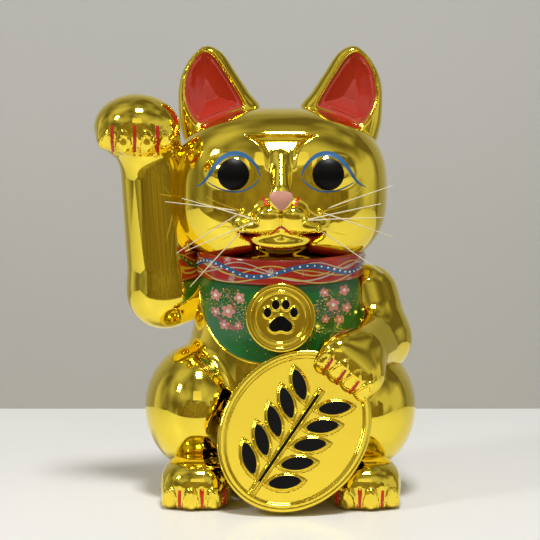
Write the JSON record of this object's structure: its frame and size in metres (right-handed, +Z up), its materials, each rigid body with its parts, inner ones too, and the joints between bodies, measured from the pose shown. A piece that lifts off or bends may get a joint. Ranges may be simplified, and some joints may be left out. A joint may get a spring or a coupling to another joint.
{
  "type": "beckoning cat money bank",
  "caption": "Seated beckoning cat in mirror-gold glazed ceramic, one paw raised, the other on an oval coin, with bib, medallion, bristle whiskers and a base stopper.",
  "frame": {"origin": "middle of the flat base, on the plane the cat stands on, in the body's mid plane", "axes": "+Z up through the ears, -Y the way the cat faces, +X the cat's own left"},
  "size_m": [0.2568, 0.1987, 0.36],
  "materials": {
    "gold_glaze": "slip-cast ceramic with a mirror-bright plated gold skin",
    "red_enamel": "glossy red overglaze paint on ceramic",
    "green_enamel": "glossy green overglaze paint on ceramic",
    "black_enamel": "satin black paint on raised ceramic relief",
    "nylon_bristle": "clear cream nylon monofilament",
    "rubber_stopper": "moulded black rubber"
  },
  "bodies": {
    "cat": {"torso": "gold_glaze", "head": "gold_glaze", "left_ear": "gold_glaze", "right_ear": "gold_glaze", "raised_arm": "gold_glaze", "resting_arm": "gold_glaze", "left_foot": "gold_glaze", "right_foot": "gold_glaze", "tail": "gold_glaze", "collar": "red_enamel", "bib": "green_enamel", "medallion": "gold_glaze", "medallion_motif": "black_enamel", "coin": "gold_glaze", "coin_motif": "black_enamel", "whisker_pips": "gold_glaze", "left_whiskers": "nylon_bristle", "right_whiskers": "nylon_bristle"},
    "stopper": {"stopper": "rubber_stopper"}
  },
  "joints": [
    {"name": "stopper_pull", "type": "slide", "parent": "cat", "child": "stopper", "axis": [0, 0, -1], "range_m": [0, 0.03]}
  ]
}
